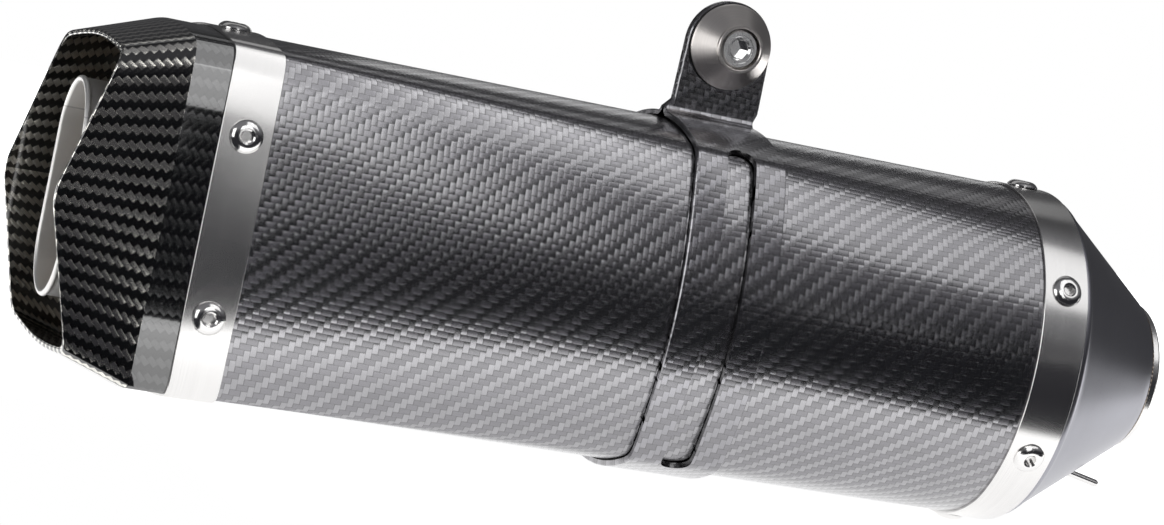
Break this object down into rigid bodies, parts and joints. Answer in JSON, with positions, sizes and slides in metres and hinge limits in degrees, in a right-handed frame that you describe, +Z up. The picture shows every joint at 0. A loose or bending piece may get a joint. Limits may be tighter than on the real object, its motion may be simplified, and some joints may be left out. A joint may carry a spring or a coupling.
{
  "type": "exhaust muffler",
  "caption": "Motorcycle exhaust muffler: carbon sleeve, riveted steel bands, faceted outlet cap with an upright slot mouth, inlet cone and a strap with a hanger bolt.",
  "frame": {"origin": "centre of the inlet socket mouth", "axes": "+X out of the inlet mouth along the gas axis, the outlet towards -X; +Z up towards the hanger tab; the hanger bolt head is on -Y"},
  "size_m": [0.4147, 0.1097, 0.1671],
  "materials": {
    "sleeve_carbon": "satin carbon fibre twill laminate",
    "cap_carbon": "gloss carbon fibre twill laminate",
    "strap_carbon": "satin carbon fibre twill laminate",
    "band_steel": "brushed stainless steel",
    "rivet_steel": "polished stainless steel",
    "cone_coated": "satin black ceramic coating on steel",
    "tube_steel": "satin stainless steel",
    "weld_steel": "weld bead",
    "core_steel": "stainless steel sheet",
    "wool_steel": "stainless steel wool",
    "wool_glass": "glass fibre packing",
    "liner_rubber": "matte heat-proof strip",
    "washer_alloy": "turned satin",
    "bolt_steel": "bright plated steel",
    "bush_alloy": "turned satin"
  },
  "bodies": {
    "muffler": {"outer_sleeve": "sleeve_carbon", "outlet_end_cap": "cap_carbon", "outlet_band": "band_steel", "outlet_band_rivets": "rivet_steel", "outlet_bulkhead": "core_steel", "outlet_tube": "tube_steel", "outlet_tube_weld": "weld_steel", "inlet_cone": "cone_coated", "inlet_band": "band_steel", "inlet_band_rivets": "rivet_steel", "inlet_bulkhead": "core_steel", "inlet_socket": "tube_steel", "inlet_weld": "weld_steel", "perforated_core": "core_steel", "core_slip_ring": "wool_steel", "steel_wool_wrap": "wool_steel", "packing_wool": "wool_glass", "mount_strap": "strap_carbon", "strap_liner": "liner_rubber", "rubber_washer": "liner_rubber", "far_bush": "bush_alloy", "spring_hooks": "bolt_steel", "hook_welds": "weld_steel"},
    "bolt": {"hanger_bolt": "bolt_steel"},
    "washer": {"conical_washer": "washer_alloy"}
  },
  "joints": [
    {"name": "bolt_turn", "type": "hinge", "parent": "muffler", "child": "bolt", "pos_m": [-0.1825, 0, 0.0885], "axis": [0, 1, 0], "continuous": true},
    {"name": "washer_turn", "type": "hinge", "parent": "muffler", "child": "washer", "pos_m": [-0.1825, 0, 0.0885], "axis": [0, 1, 0], "continuous": true}
  ]
}
